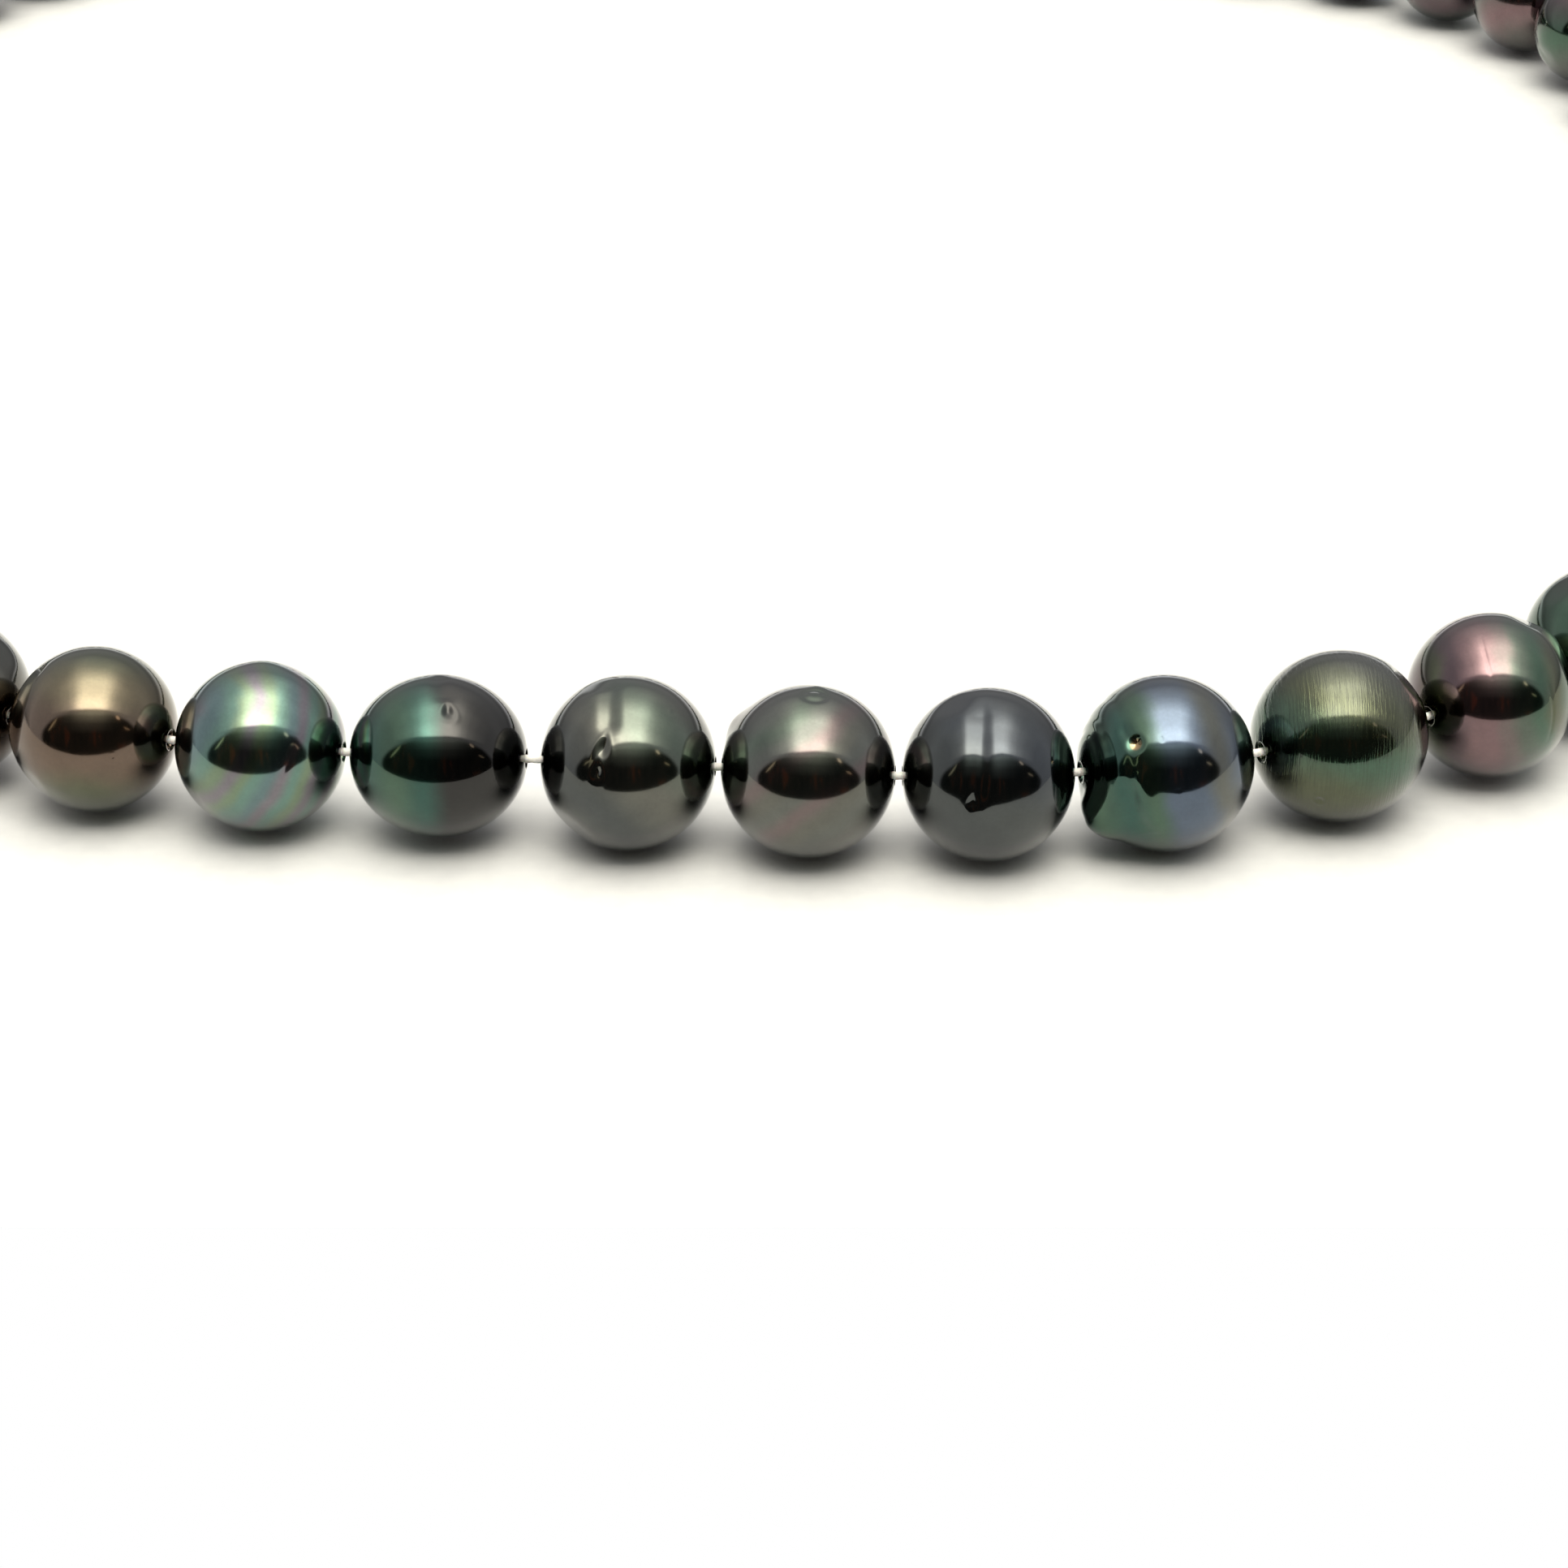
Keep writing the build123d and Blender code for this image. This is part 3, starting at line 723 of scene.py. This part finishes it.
def make_french_wire():
    """A close coil of fine wire round each loop of silk."""
    material = polished_metal("french_wire", (0.74, 0.73, 0.71), 0.26)
    for side, node in (("left", "gimp_ball_side"), ("right", "gimp_tongue_side")):
        end = end_of(side)
        middle = spaced(in_frame(end, loop_places(-GIMP_SHORT)), COIL_STEP)
        ahead = np.gradient(middle, axis=0)
        ahead /= np.linalg.norm(ahead, axis=1)[:, None]
        above = np.tile(end[3], (len(middle), 1))
        beside = np.cross(ahead, above)
        travel = np.linspace(0, (len(middle) - 1) * COIL_STEP, len(middle))
        turn = 2 * pi * travel[:, None] / COIL_PITCH
        coil = middle + COIL_RADIUS * (np.cos(turn) * beside + np.sin(turn) * above)
        piece = swept(node + "_coil", coil, COIL_WIRE, COIL_SIDES)
        piece.data.materials.append(material)
        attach(piece, f"pearl_{side}_{PEARLS_PER_SIDE:02d}")
        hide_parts(node)


def finish_clasp():
    """The clasp keeps its shapes, and gets polished and brushed white metal."""
    polished = polished_metal("white_gold", (0.80, 0.79, 0.765), 0.10)
    spring = polished_metal("spring_metal", (0.70, 0.69, 0.675), 0.24, brushed=(200.0, 5000.0, 5000.0))
    metals = {
        "clasp_ball_shell": polished,
        "clasp_ball_ring": polished,
        "tongue_cap": polished,
        "tongue_ring": polished,
        "tongue_blade": spring,
        "tongue_spring_leaf": spring,
    }
    for node, metal in metals.items():
        for socket in frame["nodes"][node].material_slots:
            socket.material = metal


make_thread()
make_french_wire()
finish_clasp()


# Camera, light and floor ------------------------------------------------------------------------

SENSOR, LENS = 36, 95.03
CAMERA_OFF = (-1.4, -208.8, 114.9)      # from the middle pearl, in millimetres
CLIP_START = 0.01

PLATE_FRONT = 38 * MM   # front edge of the plate, from the middle pearl
PLATE_REACH = 1.6       # to its sides and back, in metres

# Light by direction, in degrees: pitch runs from the camera's side over the top to the back, and
# side runs to the right. Each list has an angle and the level there.
LAMP_SIDE, LAMP_LEVEL, LAMP_TINT = 3.0, 8.2, (1.0, 0.96, 0.84)
LAMP_BY_PITCH = [(55, 0.0), (58, 1.0), (66, 1.0), (78, 0.74), (98, 0.62), (106, 0.42), (114, 0.26),
                 (124, 0.13), (138, 0.05), (150, 0.0)]
LAMP_BY_SIDE = [(12, 1.0), (18, 0.75), (24, 0.38), (31, 0.17), (42, 0.06), (56, 0.0)]
TENT_BY_PITCH = [(0, 0.75), (100, 0.85), (120, 0.9), (135, 0.8), (150, 0.6), (163, 0.45),
                 (169, 0.28), (173, 0.32), (176, 1.0), (180, 1.0)]
GLOW_BY_PITCH = [(22, 0.0), (36, 0.05), (46, 0.2), (54, 0.6), (58, 1.0)]
GLOW_BY_SIDE = [(0, 1.0), (14, 0.8), (30, 0.25), (46, 0.0)]
GLOW_TINT = (3.4, 3.7, 3.2)

# The dark opening on the camera's side: its middle's pitch, half its height and half its width,
# the streaks in it, and three small lights by side, pitch, half width, half height, lean and tint
OPENING_PITCH, OPENING_TALL, OPENING_WIDE = 8.0, 45.0, 70.0
STREAKS = [(0.35, (0.030, 0.034, 0.032)), (0.6, (0.055, 0.052, 0.046)), (0.68, (0.16, 0.07, 0.045))]
GLINTS = [
    (-50.0, 36.0, 2.4, 14.0, 0.6, (1.3, 1.15, 0.75)),
    (41.0, 47.0, 3.2, 4.0, -0.5, (3.2, 2.5, 1.8)),
    (54.0, 27.0, 3.0, 4.5, -0.9, (1.1, 0.85, 0.55)),
]


def make_camera():
    camera = bpy.data.objects.new("camera", bpy.data.cameras.new("camera"))
    camera.data.sensor_width = SENSOR
    camera.data.lens = LENS
    camera.location = Vector(pearls["pearl_middle"]["middle"]) + Vector(CAMERA_OFF) * MM
    camera.rotation_euler = (radians(90 - ELEVATION), 0, 0)
    camera.data.clip_start = CLIP_START
    bpy.context.scene.collection.objects.link(camera)
    bpy.context.scene.camera = camera


def by_pitch(n, pitch, stops):
    return n.ramp(n.math("DIVIDE", pitch, 180.0), [(angle / 180.0, level) for angle, level in stops])


def by_side(n, side, stops):
    return n.ramp(n.math("DIVIDE", side, 90.0), [(angle / 90.0, level) for angle, level in stops])


def in_opening(n, way, pitch, side, off_lamp):
    """What shows in the opening: streaks, a glow that rises to the lamp, and the small lights."""
    glow = n.math("MULTIPLY", by_pitch(n, pitch, GLOW_BY_PITCH), by_side(n, off_lamp, GLOW_BY_SIDE))
    streaks = n.ramp(n.noise(n.vector("MULTIPLY", way, (9.0, 1.0, 1.5)), 1.0, 3.0), STREAKS)
    seen = n.mix(glow, streaks, GLOW_TINT)
    for at_side, at_pitch, wide, tall, lean, tint in GLINTS:
        along = n.math("DIVIDE", n.math("SUBTRACT", pitch, at_pitch), tall)
        slanted = n.math("SUBTRACT", side, n.math("MULTIPLY", along, lean * tall))
        beside = n.math("DIVIDE", n.math("SUBTRACT", slanted, at_side), wide)
        off = n.math("ADD", n.math("POWER", along, 2.0), n.math("POWER", beside, 2.0))
        seen = n.mix(n.ramp(off, [(0.3, 1.0), (1.0, 0.0)]), seen, tint)
    return seen


def make_world():
    """A white tent with one soft lamp over the pearls and a dark opening on the camera's side.

    The camera itself sees plain white behind the floor.
    """
    world = bpy.data.worlds.new("studio")
    bpy.context.scene.world = world
    world.use_nodes = True
    n = Nodes(world.node_tree)
    n.tree.nodes.clear()
    way = n.add("TexCoord", output=0)
    way = n.vector("NORMALIZE", n.vector("ADD", way, n.drift(way, 2.4, 2.0, 0.0, 0.05)))
    x, y, z = n.add("SeparateXYZ", {0: way}).node.outputs
    pitch = n.math("DEGREES", n.math("ARCTAN2", z, n.math("MULTIPLY", y, -1.0)))
    side = n.math("DEGREES", n.math("ARCSINE", x))
    off_lamp = n.math("ABSOLUTE", n.math("SUBTRACT", side, LAMP_SIDE))

    light = by_pitch(n, pitch, LAMP_BY_PITCH)
    lamp = n.math("MULTIPLY", light, by_side(n, off_lamp, LAMP_BY_SIDE))
    lamp = n.math("MULTIPLY", lamp, LAMP_LEVEL)
    lamp = n.mix(1.0, n.add("CombineColor", {0: lamp, 1: lamp, 2: lamp}), LAMP_TINT, "MULTIPLY")
    lit = n.mix(1.0, by_pitch(n, pitch, TENT_BY_PITCH), lamp, "ADD")

    tall = n.math("DIVIDE", n.math("SUBTRACT", pitch, OPENING_PITCH), OPENING_TALL)
    wide = n.math("DIVIDE", n.math("ABSOLUTE", side), OPENING_WIDE)
    oval = n.math("ADD", n.math("POWER", tall, 2.0), n.math("POWER", wide, 4.0))
    opening = n.ramp(n.math("DIVIDE", oval, 2.0), [(0.42, 1.0), (0.56, 0.0)])
    seen = n.mix(opening, lit, in_opening(n, way, pitch, side, off_lamp))

    sky = n.add("Background", {"Color": seen})
    white = n.add("Background", {"Color": (1, 1, 1, 1)})
    both = n.add("MixShader", {0: n.add("LightPath"), 1: sky, 2: white})
    n.tree.links.new(both, n.tree.nodes.new("ShaderNodeOutputWorld").inputs[0])


def make_floor():
    """A pale plate, whose front edge lies a little way in front of the row."""
    front = pearls["pearl_middle"]["middle"][1] - PLATE_FRONT
    points = [(x, y, 0) for y in (front, PLATE_REACH) for x in (-PLATE_REACH, PLATE_REACH)]
    floor = mesh_object("floor", points, np.array([[0, 1, 3, 2]]))
    n = Surface("floor")
    place = n.add("NewGeometry", output=0)
    tooth = n.noise(place, 700.0, 4.0)
    colour = n.ramp(tooth, [(0.3, (0.60, 0.60, 0.60)), (0.7, (0.64, 0.64, 0.635))])
    n.set(Base_Color=colour, Roughness=0.5, Specular_IOR_Level=0.2)
    floor.data.materials.append(n.material)


bpy.context.scene.view_settings.view_transform = "Standard"
make_camera()
make_world()
make_floor()
